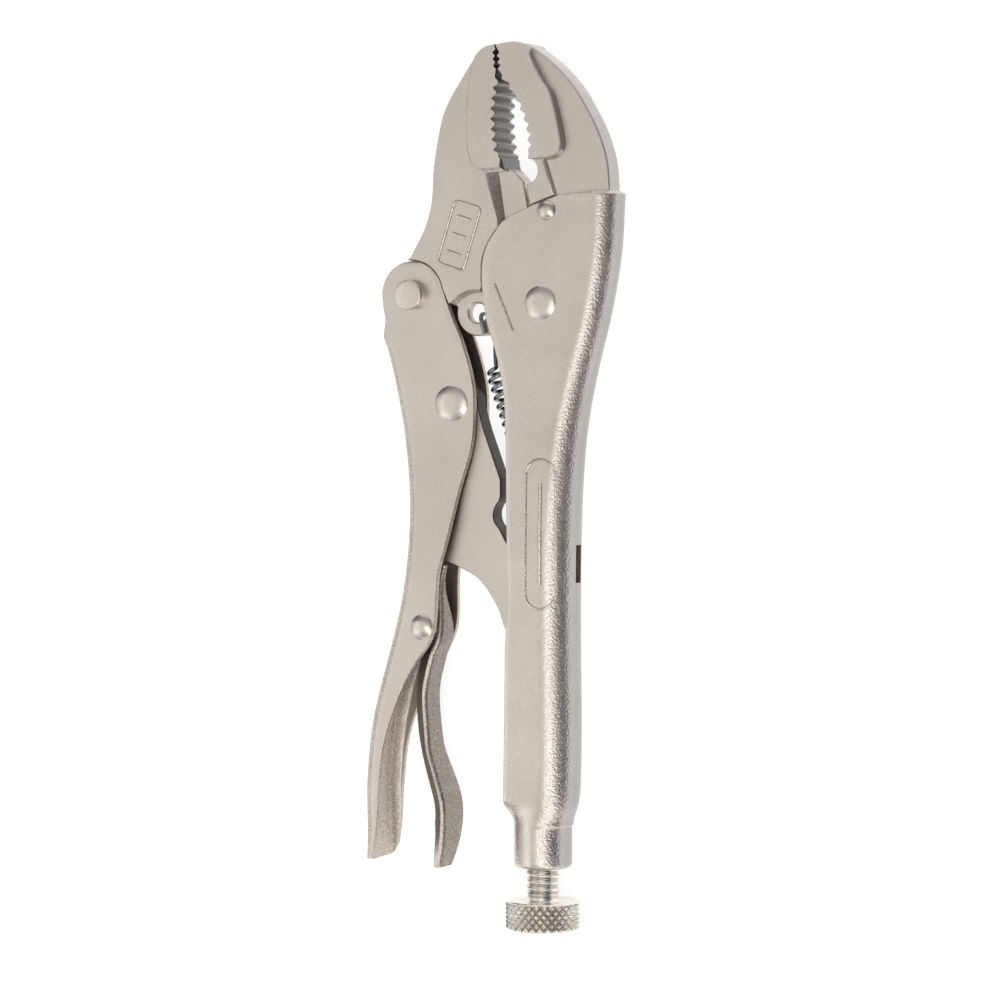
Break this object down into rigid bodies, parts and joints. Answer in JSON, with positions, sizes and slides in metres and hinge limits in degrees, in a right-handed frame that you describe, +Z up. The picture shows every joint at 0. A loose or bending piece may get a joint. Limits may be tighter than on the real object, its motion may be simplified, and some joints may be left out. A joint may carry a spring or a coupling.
{
  "type": "locking pliers",
  "caption": "Curved-jaw locking pliers with a wire cutter, over-centre toggle link, trigger release lever and knurled adjusting screw, in satin nickel-plated steel.",
  "frame": {"origin": "centre of the bounding box's lower face, which is the surface the tool lies on", "axes": "+Y from the knob to the jaw tip, +X from the movable handle to the fixed handle, +Z up through the rivets"},
  "size_m": [0.0547, 0.1764, 0.015],
  "materials": {
    "forged_steel": "satin nickel plate on forged steel",
    "pressed_steel": "satin nickel plate on pressed sheet steel",
    "screw_steel": "bright nickel plate, diamond knurl on the knob",
    "spring_wire": "dark drawn spring wire",
    "rivet_steel": "satin nickel plate, domed heads"
  },
  "bodies": {
    "fixed_side": {"fixed_handle": "pressed_steel", "fixed_jaw": "forged_steel", "jaw_pivot_rivet": "rivet_steel", "jaw_stake_pin": "rivet_steel", "spring": "spring_wire"},
    "movable_jaw": {"movable_jaw": "forged_steel"},
    "movable_handle": {"movable_handle": "pressed_steel", "jaw_lever_rivet": "rivet_steel", "link_rivet": "rivet_steel", "release_rivet": "rivet_steel"},
    "toggle_link": {"toggle_link": "pressed_steel"},
    "release_lever": {"release_lever": "pressed_steel"},
    "adjusting_screw": {"adjusting_screw": "screw_steel"}
  },
  "joints": [
    {"name": "jaw_pivot", "type": "hinge", "parent": "fixed_side", "child": "movable_jaw", "pos_m": [0.0113, 0.0368, 0.0075], "axis": [0, 0, 1], "range_deg": [0, 20], "deforming": ["spring"]},
    {"name": "lever_pivot", "type": "hinge", "parent": "movable_jaw", "child": "movable_handle", "pos_m": [-0.0173, 0.0386, 0.0075], "axis": [0, 0, 1], "range_deg": [-64, 0]},
    {"name": "link_pivot", "type": "hinge", "parent": "movable_handle", "child": "toggle_link", "pos_m": [-0.0085, 0.0168, 0.0075], "axis": [0, 0, 1], "range_deg": [0, 67.5]},
    {"name": "release_pivot", "type": "hinge", "parent": "movable_handle", "child": "release_lever", "pos_m": [-0.0142, -0.028, 0.0075], "axis": [0, 0, 1], "range_deg": [-8, 0]},
    {"name": "screw_slide", "type": "slide", "parent": "fixed_side", "child": "adjusting_screw", "axis": [0, -1, 0], "range_m": [0, 0.015]}
  ],
  "couplings": [
    {"joint": "lever_pivot", "follows": "jaw_pivot", "ratio": -3.1926},
    {"joint": "link_pivot", "follows": "jaw_pivot", "ratio": 3.3503}
  ]
}
